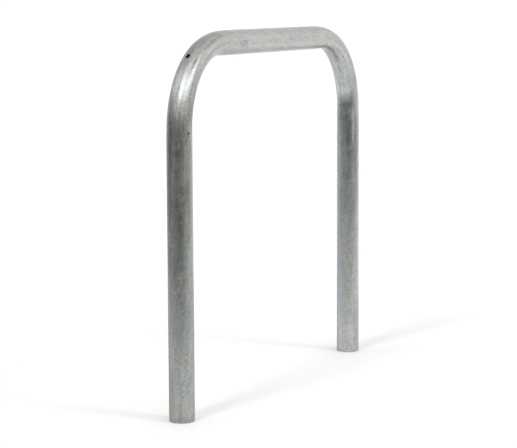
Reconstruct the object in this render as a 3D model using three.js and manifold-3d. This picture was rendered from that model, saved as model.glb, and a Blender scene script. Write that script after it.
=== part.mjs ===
// Hoop bike rack: one round steel tube, bent cold at its two top corners and then dipped in zinc, which
// stands on its two open leg ends. It is built as the five lengths that the bending leaves: two straight
// legs, two bends and the straight rail between them. They meet face to face where each bend begins.
// Millimetres, +Z up. The rail runs along X, and the origin is on the ground, midway between the legs.
import * as THREE from "three";
import { mergeVertices } from "three/addons/utils/BufferGeometryUtils.js";
import Module from "manifold-3d";

// Tube
const tubeDiameter = 50;
const tubeWall = 3;

// Hoop
const hoopHeight = 750; // ground to the top of the rail
const legSpacing = 800; // between the axes of the legs
const bendRadius = 160; // of the tube's centre line

// What the bender does to the tube round most of a bend: the outside and the inside come to lie nearer the
// centre line, and the wall outside the bend gives this much of its thickness to the wall inside it
const outsideDrawIn = 4;
const insideDrawIn = 1.5;
const outerWallThinning = 0.35;
const drawInLead = 35; // of the straight length beside a bend, where these begin to grow
const drawInRamp = 85; // the length of tube over which they grow

// Leg ends, cut square and dressed
const footOuterBevel = 0.8;
const footInnerBevel = 0.5;

// Vent hole, which lets air out of the tube as zinc fills it: outside the left bend
const ventDiameter = 9;
const ventBevel = 0.5;
const ventPlaceShare = 0.555; // of the way round the bend, from the leg to the rail
const ventTurnDegrees = 11; // round the tube from the bend's plane, towards +Y

// Drills run past the surface that they open by this much
const drillOverrun = 5;

// Fineness of the faces
const tubeSides = 48;
const bendSteps = 25;
const leadSteps = 4;
const ventSides = 24;

const tubeRadius = tubeDiameter / 2;
const boreRadius = tubeRadius - tubeWall;
const legLength = hoopHeight - tubeRadius - bendRadius;
const railLength = legSpacing - 2 * bendRadius;
const railAxisHeight = hoopHeight - tubeRadius;
const quarterTurn = Math.PI / 2;
const bendLength = bendRadius * quarterTurn;

const manifold = await Module();
manifold.setup();

// Closed solid for cutting, from a geometry with a closed surface
function solidOf(geometry) {
  const bare = geometry.clone();
  bare.deleteAttribute("normal");
  bare.deleteAttribute("uv");
  const merged = mergeVertices(bare);
  const vertProperties = merged.attributes.position.array;
  const triVerts = new Uint32Array(merged.index.array);
  return new manifold.Manifold(new manifold.Mesh({ numProp: 3, vertProperties, triVerts }));
}

// Geometry to show, from a cut solid
function geometryOf(solid) {
  const { vertProperties, triVerts } = solid.getMesh();
  const geometry = new THREE.BufferGeometry();
  geometry.setAttribute("position", new THREE.BufferAttribute(vertProperties, 3));
  geometry.setIndex(new THREE.BufferAttribute(triVerts, 1));
  geometry.computeVertexNormals();
  return geometry;
}

// Straight length of tube standing on the ground plane, with rings of faces at these heights up to its top,
// its lower rim bevelled by the two sizes given
function straightTube(ringHeights, outerBevel, innerBevel) {
  const profile = [
    [boreRadius + innerBevel, 0],
    [tubeRadius - outerBevel, 0],
    [tubeRadius, outerBevel],
    ...ringHeights.map((height) => [tubeRadius, height]),
    ...ringHeights.toReversed().map((height) => [boreRadius, height]),
    [boreRadius, innerBevel],
  ].map(([radius, height]) => new THREE.Vector2(radius, height));
  const corners = profile.filter((point, i) => !point.equals(profile[(i + 1) % profile.length]));
  corners.push(corners[0]);
  const geometry = new THREE.LatheGeometry(corners, tubeSides);
  geometry.rotateX(quarterTurn);
  return geometry;
}

// Centre line of the left bend, which leaves the leg upwards and reaches the rail going along +X
class BendLine extends THREE.Curve {
  getPoint(share, target = new THREE.Vector3()) {
    const turned = quarterTurn * share;
    const along = bendRadius - bendRadius * Math.cos(turned);
    return target.set(along - legSpacing / 2, 0, legLength + bendRadius * Math.sin(turned));
  }

  getTangent(share, target = new THREE.Vector3()) {
    const turned = quarterTurn * share;
    return target.set(Math.sin(turned), 0, Math.cos(turned));
  }

  // Direction from the centre of the bend out through the tube
  getOutward(share, target = new THREE.Vector3()) {
    const turned = quarterTurn * share;
    return target.set(-Math.cos(turned), 0, Math.sin(turned));
  }
}

const bendLine = new BendLine();

// Where a point lies on the left half of the tube: the direction out of the hoop there, how far out it lies
// from the tube's centre line, and how far into the bend from its nearest end, negative beside the bend
function placeOnTube(point) {
  const beside = -railLength / 2 - point.x;
  const above = point.z - legLength;
  if (above <= 0) {
    return { outward: new THREE.Vector3(-1, 0, 0), offset: -legSpacing / 2 - point.x, depth: above };
  }
  if (beside <= 0) {
    return { outward: new THREE.Vector3(0, 0, 1), offset: point.z - railAxisHeight, depth: beside };
  }
  const along = bendRadius * Math.atan2(above, beside);
  return {
    outward: new THREE.Vector3(-beside, 0, above).normalize(),
    offset: Math.hypot(beside, above) - bendRadius,
    depth: Math.min(along, bendLength - along),
  };
}

// How far the bend's changes to the section have grown at a depth into the bend
function drawInGrowth(depth) {
  return THREE.MathUtils.smoothstep(depth, -drawInLead, drawInRamp - drawInLead);
}

// Draws the outside and the inside of a length of tube nearer its centre line, and moves its bore outwards so
// that the wall outside the bend is thinner and the wall inside it thicker. The length stands in its place in
// the hoop, and both ends of the rail are treated as its left one.
function drawIn(geometry) {
  const places = geometry.attributes.position;
  const place = new THREE.Vector3();
  for (let i = 0; i < places.count; i++) {
    place.fromBufferAttribute(places, i);
    const { x, y } = place;
    place.x = Math.min(x, -x);
    const { outward, offset, depth } = placeOnTube(place);
    const inBore = Math.hypot(offset, y) < tubeRadius - tubeWall / 2;
    const side = offset > 0 ? outsideDrawIn : insideDrawIn;
    const change = (inBore ? outerWallThinning : 0) - (side * offset) / tubeRadius;
    place.x = x;
    place.addScaledVector(outward, change * drawInGrowth(depth));
    places.setXYZ(i, place.x, place.y, place.z);
  }
  return geometry;
}

// Left bend: the tube's ring section swept round the centre line, then drawn in as cold bending does
function bentTube() {
  const ring = new THREE.Shape().absarc(0, 0, tubeRadius, 0, 2 * Math.PI);
  ring.holes.push(new THREE.Path().absarc(0, 0, boreRadius, 0, 2 * Math.PI, true));
  const geometry = new THREE.ExtrudeGeometry(ring, {
    extrudePath: bendLine,
    steps: bendSteps,
    curveSegments: tubeSides / 2, // an arc gets twice this many
    bevelEnabled: false,
  });
  return drawIn(geometry);
}

// Drill for the vent hole, with the cone that takes off the burr, pointing at the tube's centre line
function ventDrill() {
  const radius = ventDiameter / 2;
  const surface = tubeRadius - outsideDrawIn;
  const profile = [
    [0, 0],
    [radius, 0],
    [radius, surface - ventBevel],
    [radius + ventBevel + drillOverrun, surface + drillOverrun],
    [0, surface + drillOverrun],
  ].map(([across, along]) => new THREE.Vector2(across, along));
  const geometry = new THREE.LatheGeometry(profile, ventSides);
  const lathed = new THREE.Vector3(0, 1, 0);
  const turned = THREE.MathUtils.degToRad(-ventTurnDegrees);
  const tangent = bendLine.getTangent(ventPlaceShare);
  const drilled = bendLine.getOutward(ventPlaceShare).applyAxisAngle(tangent, turned);
  const turn = new THREE.Quaternion().setFromUnitVectors(lathed, drilled);
  geometry.applyQuaternion(turn);
  geometry.translate(...bendLine.getPoint(ventPlaceShare).toArray());
  return geometry;
}

// Steel under hot-dip zinc: dull silver grey
function namedPiece(name, geometry) {
  const zincCoat = new THREE.MeshStandardMaterial({ color: 0xa9aca9, metalness: 0.85, roughness: 0.45 });
  const mesh = new THREE.Mesh(geometry, zincCoat);
  mesh.name = name;
  return mesh;
}

// Distances from a bend of the rings of faces in the straight length beside it
const leads = Array.from({ length: leadSteps + 1 }, (_, i) => (drawInLead * i) / leadSteps);

const legRings = leads.map((lead) => legLength - lead).toReversed();
const leg = straightTube(legRings, footOuterBevel, footInnerBevel);
leg.translate(-legSpacing / 2, 0, 0);
drawIn(leg);

const railRings = [...leads, ...leads.map((lead) => railLength - lead).toReversed()];
const rail = straightTube(railRings, 0, 0);
rail.rotateY(quarterTurn);
rail.translate(-railLength / 2, 0, railAxisHeight);
drawIn(rail);

const leftLeg = namedPiece("left_leg", leg);
const leftBend = namedPiece("left_bend", geometryOf(solidOf(bentTube()).subtract(solidOf(ventDrill()))));
const topRail = namedPiece("top_rail", rail);
const rightBend = namedPiece("right_bend", bentTube());
const rightLeg = namedPiece("right_leg", leg);
rightBend.rotation.z = Math.PI;
rightLeg.rotation.z = Math.PI;

const hoop = new THREE.Group();
hoop.add(leftLeg, leftBend, topRail, rightBend, rightLeg);

export default hoop;
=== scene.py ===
import math

import bmesh
import bpy
from mathutils import Matrix, Vector, noise


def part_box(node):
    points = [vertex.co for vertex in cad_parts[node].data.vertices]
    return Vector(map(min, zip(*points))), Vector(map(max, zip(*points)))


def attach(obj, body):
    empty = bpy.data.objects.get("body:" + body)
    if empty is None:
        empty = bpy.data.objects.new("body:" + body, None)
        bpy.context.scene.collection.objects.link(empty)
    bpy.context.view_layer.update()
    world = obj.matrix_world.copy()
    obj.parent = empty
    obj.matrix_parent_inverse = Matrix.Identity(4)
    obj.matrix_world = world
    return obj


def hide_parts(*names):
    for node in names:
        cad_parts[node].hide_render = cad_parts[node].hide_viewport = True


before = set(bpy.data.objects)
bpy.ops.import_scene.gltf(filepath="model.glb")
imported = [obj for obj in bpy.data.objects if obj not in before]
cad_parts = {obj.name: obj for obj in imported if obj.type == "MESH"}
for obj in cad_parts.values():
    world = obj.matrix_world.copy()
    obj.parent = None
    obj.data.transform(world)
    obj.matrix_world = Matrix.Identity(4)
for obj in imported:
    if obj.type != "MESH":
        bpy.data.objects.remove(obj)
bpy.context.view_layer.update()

MM = 0.001

# Sizes read from the frame
leg_low, leg_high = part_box("left_leg")
rail_low, rail_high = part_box("top_rail")
TUBE_RADIUS = (leg_high.x - leg_low.x) / 2
LEG_X = (leg_high.x + leg_low.x) / 2
LEG_LENGTH = leg_high.z
RAIL_LENGTH = rail_high.x - rail_low.x
RAIL_Z = (rail_low.z + rail_high.z) / 2
BEND_RADIUS = RAIL_Z - LEG_LENGTH
BEND_LENGTH = BEND_RADIUS * math.pi / 2
TUBE_LENGTH = 2 * (LEG_LENGTH + BEND_LENGTH) + RAIL_LENGTH
BEND_CENTRE = Vector((-RAIL_LENGTH / 2, 0, LEG_LENGTH))

# Sizes that the boxes don't show, as the solids have them
TUBE_WALL = 3 * MM
BORE_SHARE = (TUBE_RADIUS - TUBE_WALL) / TUBE_RADIUS
OUTSIDE_DRAW_IN = 4 * MM
INSIDE_DRAW_IN = 1.5 * MM
DRAW_IN_LEAD = 35 * MM
DRAW_IN_RAMP = 85 * MM
OUTER_WALL_THINNING = 0.35 * MM
VENT_RADIUS = 4.5 * MM
VENT_PLACE_SHARE = 0.555
VENT_TURN = math.radians(-11)

# Zinc coat: ripples of the drained coat, the thicker lumpy rim where it drips off, and rounded edges.
# A stretch is how many times longer something is along the tube than round it.
RIPPLE_DEPTH = 0.08 * MM
RIPPLE_WIDTH = 30 * MM
RIPPLE_STRETCH = 3
RIM_LUMP_DEPTH = 0.45 * MM
RIM_LUMP_WIDTH = 9 * MM
RIM_LUMP_STRETCH = 2
RIM_HEIGHT = 14 * MM
FOOT_ROUNDING = 1.1 * MM
VENT_ROUNDING = 0.8 * MM

# Fineness of the meshes
TUBE_SIDES = 128
RING_SPACING = 5 * MM  # on the straight lengths, and half of it in the bends
SHARP_ANGLE = math.radians(35)
VENT_SIDES = 48
ROUNDING_STEPS = 4
WELD_DISTANCE = 0.02 * MM

# Cloudy patterns of the coat: name, size of what it shows in millimetres, how many times longer that is along
# the tube than round it, lean towards the inside of the hoop in degrees, shift along the tube in millimetres,
# detail, roughness, and how strongly the tone follows it on the rail and on the legs
PATTERNS = (
    ("clouds", 55, 1, 0, 0, 2.0, 0.5, 0.25, 0.25),
    ("patches", 10, 5, 38, 0, 2.0, 0.55, 0.2, 0.42),
    ("mottle", 4.5, 1, 0, 0, 2.0, 0.6, 0.1, 0.8),
    ("streaks", 6, 14, 0, 200, 1.0, 0.5, 0.2, 0.55),
    ("fine_streaks", 2.4, 12, 0, 200, 1.0, 0.5, 0.8, 0.8),
    ("grain", 2, 1, 0, 0, 2.0, 0.65, 1.5, 2.9),  # about twice the real size, so that it shows
)

# Zinc crystals with frayed borders, flecks about 2 mm across, and wisps of colour. A strength given as two
# numbers is that on the rail and that on the legs.
CRYSTAL_SIZE = 8 * MM
CRYSTAL_FRAY = 5 * MM
CRYSTAL_STRENGTH = 0.14
FLECK_SPACING = 7 * MM
FLECK_STRETCH = 1.5
FLECK_FADE = (0.12, 0.3)  # shares of the spacing between which a fleck fades out
FLECK_STRENGTH = (1.2, 2.0)
WISP_WIDTH = 9 * MM
WISP_STRETCH = 5
WISP_FADE = (0.5, 0.68)  # values of the pattern between which a wisp fades in
WISP_STRENGTH = (0.18, 0.4)
CLEANER_PATCH = (653, 20, 300, 90)  # where the wisps are fainter, given as the marks below are
CLEANER_PATCH_LOSS = 0.6

# How far the coat's patterns rise from it, for the light that they catch
GRAIN_HEIGHT = 0.02 * MM
STREAK_HEIGHT = 0.008 * MM
CRYSTAL_HEIGHT = 0.006 * MM

# Colours of the coat, dark and pale, its bluish, olive and green casts, and how it looks edge on
DARK_ZINC = "9c9e9c"
PALE_ZINC = "d0d2d0"
CASTS = ("b5b3c6", "bcbaa8", "a6b4b4")
EDGE_ON = "c8c8c6"
COAT_ROUGHNESS = 0.37

# Long casts of colour and specks and smudges of dross, laid over each other in this order. The first two
# casts are olive tints;
# the bluish darker and pale lavender strips after them are painted reflection bands along the legs and the
# right bend.
# Columns: millimetres along the tube from the left foot, turn round it in degrees from the outside of the
# hoop towards the front, length and width in millimetres, colour, and how much of it shows
MARKS_AND_PAINTED_REFLECTIONS = (
    (420, 14, 330, 40, "a19f8b", 0.3),
    (480, 98, 420, 30, "b9b49e", 0.3),
    # Painted reflection bands: bluish darker strips and pale lavender strips where the tube reflects dark and
    # bright parts of the room
    (465, -24, 260, 15, "8a8a9a", 0.35),
    (330, -36, 160, 14, "92909e", 0.3),
    (300, 4, 110, 14, "8a8a98", 0.25),
    (1660, 174, 300, 32, "8c95a3", 0.35),
    (1900, 218, 600, 26, "b7b5cd", 0.4),
    (1960, 178, 280, 26, "a8acb9", 0.25),
    (1430, 182, 210, 40, "b4b6c2", 0.2),
    # Specks and smudges of dross
    (559, 74, 7.5, 6.5, "3c3e40", 1.0),
    (638, 6, 5.5, 4.5, "55585a", 0.7),
    (633, 27, 5, 3, "85888a", 0.6),
    (884, 97, 52, 24, "9fa2a4", 0.5),
    (856, 100, 8, 7, "8c8f94", 0.6),
    (872, 116, 8, 5, "8e9194", 0.5),
    (880, 102, 8, 6, "85888c", 0.6),
    (890, 84, 8, 7, "7e8184", 0.75),
    (898, 82, 6, 5, "84878a", 0.6),
    (896, 98, 7, 6, "84878a", 0.6),
    (902, 118, 6, 8, "8e9192", 0.5),
    (913, 82, 5, 44, "dcdedc", 0.4),
    (918, 124, 5, 4, "e2e2e6", 0.5),
    (936, 110, 6, 5, "ecedec", 0.7),
    (974, 124, 6, 4, "dcdce2", 0.5),
    (984, 28, 8, 4, "747678", 0.9),
    (1004, 94, 5, 4, "8e9092", 0.5),
    (1036, 102, 5, 3, "8e9092", 0.6),
    (1046, 66, 6, 5, "e4e6e2", 0.6),
    (1050, 98, 7, 4, "888a8c", 0.7),
    (1064, 94, 5, 4, "8e9092", 0.5),
    (1064, 130, 6, 4, "8e9092", 0.5),
    (1076, 108, 6, 5, "8e9092", 0.55),
    (1266, 85, 5, 50, "dcdedc", 0.4),
    (1395, 163, 50, 17, "8c8e97", 0.4),
    (1384, 172, 7, 5, "7c7e84", 0.6),
    (1402, 170, 7, 6, "74767c", 0.6),
    (1424, 170, 7, 5, "7c7e84", 0.6),
    (1452, 160, 6, 5, "8a8c90", 0.5),
    (1400, 127, 8, 5, "6a6c72", 0.8),
    (1410, 176, 9, 6, "74767c", 0.8),
    (1390, 158, 7, 5, "808288", 0.6),
    (1438, 172, 34, 9, "8c8e97", 0.6),
)

# Runs of painted highlight and painted shade: brighter and darker bands that copy the tube's reflections,
# with painted shade round the left foot where it stands on the floor and inside the vent hole: place, length
# and width as for the marks, how much brighter it is, and the share of its size from which it fades
PAINTED_LIGHT_AND_SHADE_RUNS = (
    # painted shade round the left foot, where it stands on the floor
    (3, 25, 24, 60, -0.15, 0.3),
    (45, -26, 170, 26, -0.13, 0.4),
    (120, 20, 700, 260, -0.12, 0.3),
    (180, -52, 440, 12, -0.2, 0.5),
    (185, 38, 100, 10, -0.12, 0.3),
    (212, -36, 110, 9, 0.13, 0.5),
    (310, 71, 110, 10, 0.18, 0.3),
    (330, -30, 80, 14, -0.15, 0.3),
    (375, 15, 90, 12, 0.12, 0.3),
    (400, -52, 180, 12, -0.12, 0.5),
    (430, -50, 300, 26, -0.14, 0.3),
    (450, 62, 80, 16, -0.14, 0.3),
    (465, -24, 250, 13, -0.25, 0.6),
    (480, 88, 320, 36, -0.22, 0.3),
    (500, 12, 220, 30, 0.2, 0.5),
    (530, -11, 130, 15, -0.3, 0.4),
    (572, 14, 60, 14, 0.18, 0.3),
    (580, -47, 70, 10, 0.25, 0.3),
    (590, -24, 90, 12, -0.2, 0.3),
    (605, 104, 130, 28, -0.34, 0.3),
    (608, 3, 44, 8, 0.3, 0.4),
    (615, 8, 70, 8, -0.12, 0.3),
    (632, 20, 48, 14, -0.16, 0.4),
    (635, 38, 60, 14, 0.12, 0.3),
    (647, 54, 52, 14, 0.18, 0.4),
    (650, -56, 130, 28, 0.14, 0.3),
    (668, 16, 50, 12, 0.15, 0.3),
    (678, 27, 68, 12, 0.24, 0.4),
    (682, 46, 70, 14, -0.25, 0.3),
    (692, 46, 44, 12, -0.2, 0.4),
    (700, 96, 160, 24, -0.12, 0.3),
    (704.5, -11, 12, 12, -0.95, 0.8),  # painted shade inside the vent hole
    (750, 38, 90, 12, 0.3, 0.3),
    (762, 15, 110, 24, 0.06, 0.3),
    (765, 41, 90, 9, 0.18, 0.3),
    (1050, 90, 520, 300, 0.04, 0.3),
    (1312, 136, 70, 16, 0.28, 0.3),
    (1487, 148, 50, 16, -0.1, 0.3),
    (1530, 130, 100, 130, 0.25, 0.5),
    (1544, 170, 17, 46, -0.2, 0.5),
    (1575, 176, 60, 30, -0.06, 0.5),
    (1590, 130, 110, 9, 0.4, 0.5),
    (1610, 90, 120, 9, -0.12, 0.6),
    (1630, 110, 170, 8, -0.2, 0.5),
    (1640, 184, 210, 26, 0.3, 0.5),
    (1700, 222, 520, 22, 0.22, 0.75),
    (1700, 58, 300, 12, -0.15, 0.3),
    (1760, 188, 520, 40, 0.07, 0.6),
    (1875, 102, 310, 32, 0.15, 0.5),
    (1900, 204, 420, 12, 0.12, 0.3),
    (2040, 150, 260, 90, 0.05, 0.3),
    (2055, 122, 110, 22, -0.1, 0.4),
    (2075, 165, 120, 60, 0.1, 0.3),
)

# Studio: white paper floor, and a backdrop shown a little over white so that it comes out clean
FLOOR_RADIUS = 1.4
PAPER_WHITE = "f7f8f8"
BACKDROP_STRENGTH = 1.05

# Round lamps: name, heading and elevation in degrees, and strength
SOFTBOX_ANGLE = math.radians(14)
SOFTBOXES = (
    ("softbox_left", -86, 44, 0.895),
    ("softbox_right", -178, 51, 0.45),
)

# Screens, walls and reflectors: heading and elevation in degrees, brightness, spread and colour
GLOWS = (
    (-172, 18, 0.9, 0.05, "f9fff4"),
    (-175, 50, 0.2, 0.12, "ffffff"),
    (-33, 40, 1.5, 0.05, "ffffff"),
    (-132, 40, 2.1, 0.05, "ffffff"),
    (-148, 52, 0.9, 0.04, "ffffff"),
    (14, 88, 1.0, 0.06, "fffff9"),
    (-4, 31, 0.6, 0.05, "ffffff"),
    (-2, -40, 4.4, 0.05, "ffffff"),
    (74, -7, 2.3, 0.37, "fffdfd"),
    (140, 24, 1.2, 0.05, "fffff9"),
    (157, -45, 3.4, 0.08, "ffffff"),
    (-52, -20, 0.26, 0.14, "ecfbff"),
)

# Camera, fitted to the photograph's edges for this size of hoop
FRAME_WIDTH_PX = 517
FOCAL_LENGTH_PX = 1887.7
SENSOR_WIDTH_MM = 36
CAMERA_PLACE = Vector((-3.5472, -1.7257, 0.8258))
CAMERA_HEADING = math.radians(63.657)
CAMERA_TILT = math.radians(-7.028)
CAMERA_ROLL = math.radians(-0.27)


# Materials

def linear(hex_colour):
    """RGBA for a node from an sRGB colour written as six hex digits."""
    channels = [int(hex_colour[i:i + 2], 16) / 255 for i in (0, 2, 4)]
    return [c / 12.92 if c <= 0.04045 else ((c + 0.055) / 1.055) ** 2.4 for c in channels] + [1.0]


def add(tree, kind, *values, **named):
    """Adds a node and gives the outputs that it uses. Values go to the inputs that it uses, in order. A name
    in small letters is one of its settings, and any other is an input. A socket is linked."""
    node = tree.nodes.new("ShaderNode" + kind)
    for name, value in named.items():
        if name.islower():
            setattr(node, name, value)
    given = list(zip([socket for socket in node.inputs if socket.enabled], values))
    given += [(node.inputs[name], value) for name, value in named.items() if not name.islower()]
    for socket, value in given:
        if isinstance(value, bpy.types.NodeSocket):
            tree.links.new(value, socket)
        else:
            socket.default_value = value
    return [socket for socket in node.outputs if socket.enabled]


def straightened(tree, along, turns):
    """Place on the tube as if it had never been bent: along it, outwards from the hoop and towards the
    front."""
    turn = add(tree, "Math", turns, 2 * math.pi, operation="MULTIPLY")[0]
    cosine = add(tree, "Math", turn, operation="COSINE")[0]
    sine = add(tree, "Math", turn, operation="SINE")[0]
    out = add(tree, "Math", cosine, TUBE_RADIUS, operation="MULTIPLY")[0]
    side = add(tree, "Math", sine, TUBE_RADIUS, operation="MULTIPLY")[0]
    return add(tree, "CombineXYZ", along, out, side)[0]


def summed(tree, start, *layers):
    """A number plus each pattern's difference from 0.5, times its weight."""
    total = start
    for value, weight in layers:
        centred = add(tree, "Math", value, 0.5, operation="SUBTRACT")[0]
        total = add(tree, "Math", centred, weight, total, operation="MULTIPLY_ADD")[0]
    return total


def mark(tree, place, at_mm, turn_deg, length_mm, width_mm, edge=0.3):
    """Spot from 1 to 0, soft beyond a share of its size, at a distance along the tube and a turn round it."""
    turn = math.radians(turn_deg)
    length = length_mm * MM
    width = width_mm * MM
    centre = (at_mm * MM, TUBE_RADIUS * math.cos(turn), TUBE_RADIUS * math.sin(turn))
    offset = add(tree, "VectorMath", place, centre, operation="SUBTRACT")[0]
    share = add(tree, "VectorMath", offset, (2 / length, 2 / width, 2 / width), operation="MULTIPLY")[0]
    distance = add(tree, "VectorMath", share, operation="LENGTH")[0]
    return add(tree, "MapRange", distance, edge, 1.0, 1.0, 0.0, interpolation_type="SMOOTHSTEP")[0]


def hot_dip_zinc():
    """Hot-dip galvanised steel that has gone dull: mottled grey with bluish and olive casts, streaks
    where the zinc drained, faint crystals, flecks, and specks and smudges of dross, with painted highlights,
    painted shade and painted reflection bands laid over it."""
    material = bpy.data.materials.new("hot_dip_zinc_dulled")
    material.use_nodes = True
    tree = material.node_tree
    shader = tree.nodes["Principled BSDF"]

    # Distance along the tube from the left foot, and share of a turn round it
    tube_map = add(tree, "UVMap", uv_map="tube")[0]
    along, turns, _ = add(tree, "SeparateXYZ", tube_map)
    place = straightened(tree, along, turns)

    # The coat is rougher and more coloured on the legs than on the rail
    past_middle = add(tree, "Math", along, TUBE_LENGTH / 2, operation="SUBTRACT")[0]
    from_middle = add(tree, "Math", past_middle, operation="ABSOLUTE")[0]
    leg_share = add(tree, "MapRange", from_middle, RAIL_LENGTH / 2, TUBE_LENGTH / 2 - LEG_LENGTH, 0.0, 1.0,
                    interpolation_type="SMOOTHSTEP")[0]

    def graded(on_rail, on_legs):
        """Weight that grows or shrinks from the rail to the legs."""
        return add(tree, "Math", leg_share, on_legs - on_rail, on_rail, operation="MULTIPLY_ADD")[0]

    # Tone between dark and pale zinc, which follows the cloudy patterns
    tone = 0.5
    cloudy = {}
    for name, size, stretch, lean_deg, shift, detail, roughness, on_rail, on_legs in PATTERNS:
        drawn_out = add(tree, "Mapping", place, (shift * MM, 0, 0), (0, 0, -math.radians(lean_deg)),
                        (stretch, 1, 1), vector_type="TEXTURE")[0]
        cloudy[name] = add(tree, "TexNoise", drawn_out, Scale=1 / (size * MM), Detail=detail,
                           Roughness=roughness)[0]
        tone = summed(tree, tone, (cloudy[name], graded(on_rail, on_legs)))

    # Zinc crystals with frayed borders, each with its own tone
    _, fray = add(tree, "TexNoise", place, Scale=1 / CRYSTAL_FRAY, Detail=2.0)
    frayed = add(tree, "VectorMath", fray, (CRYSTAL_FRAY, CRYSTAL_FRAY, CRYSTAL_FRAY), place,
                 operation="MULTIPLY_ADD")[0]
    _, crystal_colour, _ = add(tree, "TexVoronoi", frayed, Scale=1 / CRYSTAL_SIZE, feature="F1")
    crystal, _, _ = add(tree, "SeparateColor", crystal_colour)
    tone = summed(tree, tone, (crystal, CRYSTAL_STRENGTH))

    # Pale and dark flecks
    drawn_out = add(tree, "Mapping", place, Scale=(FLECK_STRETCH, 1, 1), vector_type="TEXTURE")[0]
    from_fleck, fleck_colour, _ = add(tree, "TexVoronoi", drawn_out, Scale=1 / FLECK_SPACING, feature="F1")
    _, fleck_value, _ = add(tree, "SeparateColor", fleck_colour)
    fleck_tone = add(tree, "Math", fleck_value, 0.5, operation="SUBTRACT")[0]
    fleck_shape = add(tree, "MapRange", from_fleck, *FLECK_FADE, 1.0, 0.0,
                      interpolation_type="SMOOTHSTEP")[0]
    fleck = add(tree, "Math", fleck_shape, fleck_tone, operation="MULTIPLY")[0]
    tone = add(tree, "Math", fleck, graded(*FLECK_STRENGTH), tone, operation="MULTIPLY_ADD")[0]
    colour = add(tree, "Mix", tone, linear(DARK_ZINC), linear(PALE_ZINC), data_type="RGBA")[0]

    # Casts of colour in lengthwise wisps, fainter round the highlight of the left bend
    drawn_out = add(tree, "Mapping", place, Scale=(WISP_STRETCH, 1, 1), vector_type="TEXTURE")[0]
    _, wisps = add(tree, "TexNoise", drawn_out, Scale=1 / WISP_WIDTH, Detail=2.0)
    cleaner = mark(tree, place, *CLEANER_PATCH, edge=0.4)
    faintness = add(tree, "Math", cleaner, -CLEANER_PATCH_LOSS, 1.0, operation="MULTIPLY_ADD")[0]
    strength = add(tree, "Math", graded(*WISP_STRENGTH), faintness, operation="MULTIPLY")[0]
    for wisp, hex_colour in zip(add(tree, "SeparateColor", wisps), CASTS):
        shown = add(tree, "MapRange", wisp, *WISP_FADE, 0.0, 1.0, interpolation_type="SMOOTHSTEP")[0]
        amount = add(tree, "Math", shown, strength, operation="MULTIPLY")[0]
        colour = add(tree, "Mix", amount, colour, linear(hex_colour), data_type="RGBA")[0]

    # Runs of painted highlight and painted shade, and the marks over them, some of which are painted
    # reflection bands
    brightness = 1.0
    for *patch, weight, edge in PAINTED_LIGHT_AND_SHADE_RUNS:
        run = mark(tree, place, *patch, edge)
        brightness = add(tree, "Math", run, weight, brightness, operation="MULTIPLY_ADD")[0]
    colour = add(tree, "VectorMath", colour, brightness, operation="SCALE")[0]
    for *patch, hex_colour, share in MARKS_AND_PAINTED_REFLECTIONS:
        amount = add(tree, "Math", mark(tree, place, *patch), share, operation="MULTIPLY")[0]
        colour = add(tree, "Mix", amount, colour, linear(hex_colour), data_type="RGBA")[0]

    # Gloss and relief, which vary with the same patterns
    gloss = summed(tree, COAT_ROUGHNESS, (cloudy["clouds"], 0.06), (crystal, 0.06),
                   (cloudy["fine_streaks"], 0.07))
    height = add(tree, "Math", cloudy["grain"], GRAIN_HEIGHT, operation="MULTIPLY")[0]
    height = add(tree, "Math", cloudy["fine_streaks"], STREAK_HEIGHT, height, operation="MULTIPLY_ADD")[0]
    height = add(tree, "Math", crystal, CRYSTAL_HEIGHT, height, operation="MULTIPLY_ADD")[0]
    relief = add(tree, "Bump", Strength=1.0, Distance=1.0, Height=height)[0]

    tree.links.new(colour, shader.inputs["Base Color"])
    tree.links.new(gloss, shader.inputs["Roughness"])
    tree.links.new(relief, shader.inputs["Normal"])
    shader.inputs["Metallic"].default_value = 1.0
    shader.inputs["Specular Tint"].default_value = linear(EDGE_ON)
    return material


# Tube

def tube_place(point):
    """Where a point of the hoop lies on the tube: distance along it from the left foot, turn round it from
    the outside of the hoop, distance from its centre line, and the direction out of the hoop there."""
    side = -1 if point.x < 0 else 1
    beyond = side * point.x - RAIL_LENGTH / 2
    above = point.z - LEG_LENGTH
    if above <= 0:
        along = point.z
        offset = side * point.x + LEG_X
        outward = Vector((side, 0, 0))
    elif beyond > 0:
        along = LEG_LENGTH + BEND_RADIUS * math.atan2(above, beyond)
        offset = math.hypot(above, beyond) - BEND_RADIUS
        outward = Vector((side * beyond, 0, above)).normalized()
    else:
        along = LEG_LENGTH + BEND_LENGTH - beyond
        offset = point.z - RAIL_Z
        outward = Vector((0, 0, 1))
    if side > 0:
        along = TUBE_LENGTH - along
    return along, math.atan2(-point.y, offset), math.hypot(offset, point.y), outward


def edges_and_verts(made):
    """Edges and vertices that an operator has made."""
    edges = [e for e in made["geom"] if isinstance(e, bmesh.types.BMEdge)]
    verts = [v for v in made["geom"] if isinstance(v, bmesh.types.BMVert)]
    return edges, verts


def without_doubles(items):
    """Each item once, in the order given. A set would mix them differently in each run."""
    return list(dict.fromkeys(items))


def wall_run(bm, at_start, lengthen, shorten, narrow, widen):
    """Tube wall made as one run of faces: out along the outside, in over the far end, back along the bore
    and out over the near end, where it is welded to its start."""
    verts = bmesh.ops.create_circle(bm, segments=TUBE_SIDES, radius=TUBE_RADIUS, matrix=at_start)["verts"]
    edges = without_doubles(e for v in verts for e in v.link_edges)
    for step in (lengthen, narrow, shorten, widen):
        edges = step(edges)
    bmesh.ops.remove_doubles(bm, verts=bm.verts, dist=WELD_DISTANCE)
    bmesh.ops.recalc_face_normals(bm, faces=bm.faces)


def resized_ring(bm, ratio, centre):
    """Step of a run that grows or shrinks the ring of edges about its centre."""
    def step(edges):
        edges, verts = edges_and_verts(bmesh.ops.extrude_edge_only(bm, edges=edges))
        bmesh.ops.scale(bm, verts=verts, vec=(ratio, ratio, ratio), space=Matrix.Translation(-Vector(centre)))
        return edges
    return step


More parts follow.
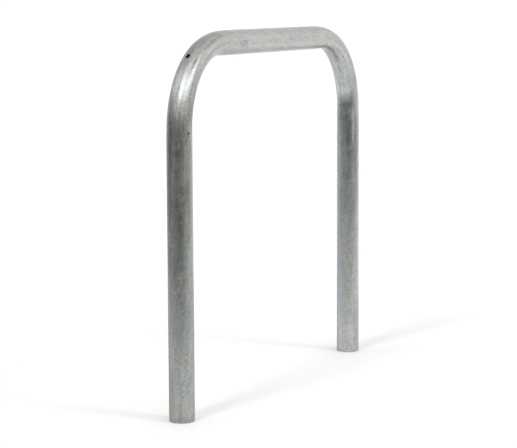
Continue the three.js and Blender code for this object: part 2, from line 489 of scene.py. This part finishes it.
def straight_tube(length):
    """Length of tube standing on the ground plane round the Z axis."""
    bm = bmesh.new()
    rings = round(length / RING_SPACING)

    def moved(distance):
        def step(edges):
            for _ in range(rings):
                edges, verts = edges_and_verts(bmesh.ops.extrude_edge_only(bm, edges=edges))
                bmesh.ops.translate(bm, verts=verts, vec=(0, 0, distance / rings))
            return edges
        return step

    wall_run(bm, Matrix(), moved(length), moved(-length),
             resized_ring(bm, BORE_SHARE, (0, 0, length)), resized_ring(bm, 1 / BORE_SHARE, (0, 0, 0)))
    return bm


def bent_tube():
    """Left bend: the tube's wall spun a quarter turn about the bend's centre."""
    bm = bmesh.new()
    steps = round(BEND_LENGTH * 2 / RING_SPACING)
    leg_end = (LEG_X, 0, LEG_LENGTH)
    rail_end = (-RAIL_LENGTH / 2, 0, RAIL_Z)

    def spun(angle):
        def step(edges):
            verts = without_doubles(v for e in edges for v in e.verts)
            made = bmesh.ops.spin(bm, geom=verts + edges, cent=BEND_CENTRE, axis=(0, 1, 0), angle=angle,
                                  steps=steps)
            return [e for e in made["geom_last"] if isinstance(e, bmesh.types.BMEdge)]
        return step

    wall_run(bm, Matrix.Translation(leg_end), spun(math.pi / 2), spun(-math.pi / 2),
             resized_ring(bm, BORE_SHARE, rail_end), resized_ring(bm, 1 / BORE_SHARE, leg_end))
    return bm


def draw_in_growth(along):
    """How far the bends' changes to the section have grown at a distance along the tube. They begin in the
    straight length beside a bend."""
    past_leg = min(along, TUBE_LENGTH - along) - LEG_LENGTH
    depth = min(past_leg, BEND_LENGTH - past_leg)
    t = max(0.0, min(1.0, (depth + DRAW_IN_LEAD) / DRAW_IN_RAMP))
    return t * t * (3 - 2 * t)


def draw_in(bm):
    """Draws the outside and the inside of a bend nearer its centre line and thins the wall outside it."""
    for vert in bm.verts:
        along, turn, reach, outward = tube_place(vert.co)
        offset = reach * math.cos(turn)
        in_bore = reach < TUBE_RADIUS - TUBE_WALL / 2
        side = OUTSIDE_DRAW_IN if offset > 0 else INSIDE_DRAW_IN
        change = (OUTER_WALL_THINNING if in_bore else 0) - side * offset / TUBE_RADIUS
        vert.co += outward * change * draw_in_growth(along)


def coat(bm):
    """Gives the tube's outside the drained coat's ripples, and the lumpy rim where it drips off the feet.
    Both lie under the tube's own radius, so that the hoop keeps its size."""
    for vert in bm.verts:
        along, turn, reach, _ = tube_place(vert.co)
        if reach < TUBE_RADIUS - TUBE_WALL / 2:
            continue
        section = Vector((0, reach * math.cos(turn), reach * math.sin(turn)))
        ripple = noise.noise((section + Vector((along / RIPPLE_STRETCH, 0, 0))) / RIPPLE_WIDTH)
        lump = noise.noise((section + Vector((along / RIM_LUMP_STRETCH, 0, 0))) / RIM_LUMP_WIDTH)
        height = min(along, TUBE_LENGTH - along)
        near_rim = max(0, 1 - height / RIM_HEIGHT) ** 2
        depth = RIPPLE_DEPTH * (0.5 + 0.5 * ripple) + RIM_LUMP_DEPTH * near_rim * (0.5 + 0.5 * lump)
        vert.co -= vert.normal * depth


def round_foot(bm):
    """Rounds both edges of the open end that stands on the ground."""
    # Edges in the ground plane, without those that cross the wall from the outside to the bore
    grounded = [e for e in bm.edges if all(abs(v.co.z) < WELD_DISTANCE for v in e.verts)]
    edges = [e for e in grounded
             if abs(e.verts[0].co.xy.length - e.verts[1].co.xy.length) < WELD_DISTANCE]
    bmesh.ops.bevel(bm, geom=edges, offset=FOOT_ROUNDING, segments=ROUNDING_STEPS, affect="EDGES",
                    profile=0.5, material=-1)


def vent_drill():
    """Solid that cuts the vent hole, with the flare that leaves its edge rounded as the zinc does."""
    angle = VENT_PLACE_SHARE * math.pi / 2
    surface = TUBE_RADIUS - OUTSIDE_DRAW_IN - RIPPLE_DEPTH / 2
    bm = bmesh.new()
    corners = [(0, 0), (VENT_RADIUS, 0)]
    for step in range(ROUNDING_STEPS * 2 + 1):
        t = step / (ROUNDING_STEPS * 2) * math.pi / 2
        corners.append((VENT_RADIUS + VENT_ROUNDING * (1 - math.cos(t)),
                        surface - VENT_ROUNDING * (1 - math.sin(t))))
    top = surface + 2 * VENT_ROUNDING
    corners += [(VENT_RADIUS + VENT_ROUNDING * 3, top), (0, top)]
    profile = [bm.verts.new((across, 0, up)) for across, up in corners]
    edges = [bm.edges.new(pair) for pair in zip(profile, profile[1:])]
    bmesh.ops.spin(bm, geom=profile + edges, cent=(0, 0, 0), axis=(0, 0, 1), angle=2 * math.pi,
                   steps=VENT_SIDES, use_merge=True)
    bmesh.ops.remove_doubles(bm, verts=bm.verts, dist=WELD_DISTANCE)
    bmesh.ops.recalc_face_normals(bm, faces=bm.faces)
    outward = Vector((-math.cos(angle), 0, math.sin(angle)))
    centre = BEND_CENTRE + outward * BEND_RADIUS
    drilled = outward * math.cos(VENT_TURN) + Vector((0, -1, 0)) * math.sin(VENT_TURN)
    turn = Vector((0, 0, 1)).rotation_difference(drilled).to_matrix().to_4x4()
    bmesh.ops.transform(bm, matrix=Matrix.Translation(centre) @ turn, verts=bm.verts)
    return bm


def mesh_object(name, bm):
    """Object in the scene that holds a finished bmesh."""
    mesh = bpy.data.meshes.new(name)
    bm.to_mesh(mesh)
    bm.free()
    item = bpy.data.objects.new(name, mesh)
    bpy.context.scene.collection.objects.link(item)
    return item


def cut(item, drill):
    """Takes the drill's shape out of an object's mesh, and the drill out of the scene."""
    modifier = item.modifiers.new("cut", "BOOLEAN")
    modifier.operation = "DIFFERENCE"
    modifier.solver = "EXACT"
    modifier.object = drill
    result = bpy.data.meshes.new_from_object(item.evaluated_get(bpy.context.evaluated_depsgraph_get()))
    item.modifiers.clear()
    item.data = result
    bpy.data.objects.remove(drill)


def finish_mesh(item):
    """Smooth shading with sharp edges kept, and the UV map that holds each corner's place on the tube."""
    bm = bmesh.new()
    bm.from_mesh(item.data)
    places = bm.loops.layers.uv.new("tube")
    for edge in bm.edges:
        edge.smooth = len(edge.link_faces) == 2 and edge.calc_face_angle() < SHARP_ANGLE
    for face in bm.faces:
        face.smooth = True
        middle = tube_place(face.calc_center_median())[1] / (2 * math.pi)
        for loop in face.loops:
            along, turn, _, _ = tube_place(loop.vert.co)
            turns = turn / (2 * math.pi)
            loop[places].uv = (along, turns + round(middle - turns))
    bm.to_mesh(item.data)
    bm.free()


def tube_piece(node, bm, material):
    """Turns a length of tube into a finished piece that stands for its CAD node."""
    bmesh.ops.recalc_face_normals(bm, faces=bm.faces)
    bm.normal_update()
    coat(bm)
    draw_in(bm)
    item = mesh_object("zinc_" + node, bm)
    if node == "left_bend":
        cut(item, mesh_object("drill", vent_drill()))
    finish_mesh(item)
    item.data.materials.clear()
    item.data.materials.append(material)
    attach(item, "root")
    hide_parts(node)


def placed(bm, matrix):
    """The same bmesh, moved as a whole."""
    bmesh.ops.transform(bm, matrix=matrix, verts=bm.verts)
    return bm


def leg(side):
    """The left leg for a side of -1, and the right one for 1."""
    bm = straight_tube(LEG_LENGTH)
    round_foot(bm)
    return placed(bm, Matrix.Translation((side * -LEG_X, 0, 0)))


def rail():
    """The straight length between the bends."""
    lying = Matrix.Translation((-RAIL_LENGTH / 2, 0, RAIL_Z)) @ Matrix.Rotation(math.pi / 2, 4, "Y")
    return placed(straight_tube(RAIL_LENGTH), lying)


half_turn = Matrix.Rotation(math.pi, 4, "Z")
zinc = hot_dip_zinc()
tube_piece("left_leg", leg(-1), zinc)
tube_piece("left_bend", bent_tube(), zinc)
tube_piece("top_rail", rail(), zinc)
tube_piece("right_bend", placed(bent_tube(), half_turn), zinc)
tube_piece("right_leg", leg(1), zinc)


# Studio

def direction(heading_deg, elevation_deg):
    """Unit vector, with the heading counted from +Y towards +X."""
    heading, elevation = math.radians(heading_deg), math.radians(elevation_deg)
    flat = math.cos(elevation)
    return Vector((math.sin(heading) * flat, math.cos(heading) * flat, math.sin(elevation)))


def studio_floor():
    """Disc of white paper that the hoop stands on."""
    material = bpy.data.materials.new("white_studio_paper")
    material.use_nodes = True
    shader = material.node_tree.nodes["Principled BSDF"]
    shader.inputs["Base Color"].default_value = linear(PAPER_WHITE)
    shader.inputs["Roughness"].default_value = 0.9
    shader.inputs["Specular IOR Level"].default_value = 0.2
    bm = bmesh.new()
    bmesh.ops.create_circle(bm, cap_ends=True, segments=96, radius=FLOOR_RADIUS)
    floor = mesh_object("floor", bm)
    floor.data.materials.append(material)


def softbox(name, heading_deg, elevation_deg, strength):
    """Large round lamp, far enough away to light the hoop and the floor evenly."""
    lamp = bpy.data.lights.new(name, "SUN")
    lamp.angle = SOFTBOX_ANGLE
    lamp.energy = strength
    item = bpy.data.objects.new(name, lamp)
    item.rotation_euler = direction(heading_deg, elevation_deg).to_track_quat("Z", "Y").to_euler()
    bpy.context.scene.collection.objects.link(item)


def studio_room(glows):
    """What the hoop sees round it: pale screens and walls, each a soft glow, and darkness between them.
    The camera sees plain white where there is no floor."""
    world = bpy.data.worlds.new("studio")
    world.use_nodes = True
    tree = world.node_tree
    tree.nodes.clear()
    ray = add(tree, "TexCoord")[0]  # in a world, the first coordinates are the direction looked in
    light = (0.0, 0.0, 0.0)
    for heading_deg, elevation_deg, brightness, spread, hex_colour in glows:
        towards = direction(heading_deg, elevation_deg)
        facing = add(tree, "VectorMath", ray, towards, operation="DOT_PRODUCT")[0]
        aside = add(tree, "Math", facing, 1.0, operation="SUBTRACT")[0]
        spreads = add(tree, "Math", aside, spread, operation="DIVIDE")[0]
        fall = add(tree, "Math", spreads, operation="EXPONENT")[0]
        colour = Vector(linear(hex_colour)[:3]) * brightness
        light = add(tree, "VectorMath", fall, colour, light, operation="MULTIPLY_ADD")[0]
    room = add(tree, "Background", Color=light, Strength=1.0)[0]
    seen = add(tree, "Background", Color=linear("ffffff"), Strength=BACKDROP_STRENGTH)[0]
    is_camera_ray, *_ = add(tree, "LightPath")
    chosen = add(tree, "MixShader", is_camera_ray, room, seen)[0]
    add(tree, "OutputWorld", Surface=chosen)
    bpy.context.scene.world = world


def camera():
    """The photograph's view of the hoop."""
    lens = bpy.data.cameras.new("camera")
    lens.sensor_width = SENSOR_WIDTH_MM
    lens.sensor_fit = "HORIZONTAL"
    lens.lens = FOCAL_LENGTH_PX / FRAME_WIDTH_PX * SENSOR_WIDTH_MM
    item = bpy.data.objects.new("camera", lens)
    item.matrix_world = (Matrix.Translation(CAMERA_PLACE)
                         @ Matrix.Rotation(-CAMERA_HEADING, 4, "Z")
                         @ Matrix.Rotation(math.pi / 2 + CAMERA_TILT, 4, "X")
                         @ Matrix.Rotation(CAMERA_ROLL, 4, "Z"))
    bpy.context.scene.collection.objects.link(item)
    bpy.context.scene.camera = item


studio_floor()
studio_room(GLOWS)
for name, heading_deg, elevation_deg, strength in SOFTBOXES:
    softbox(name, heading_deg, elevation_deg, strength)
camera()
bpy.context.scene.view_settings.view_transform = "Standard"
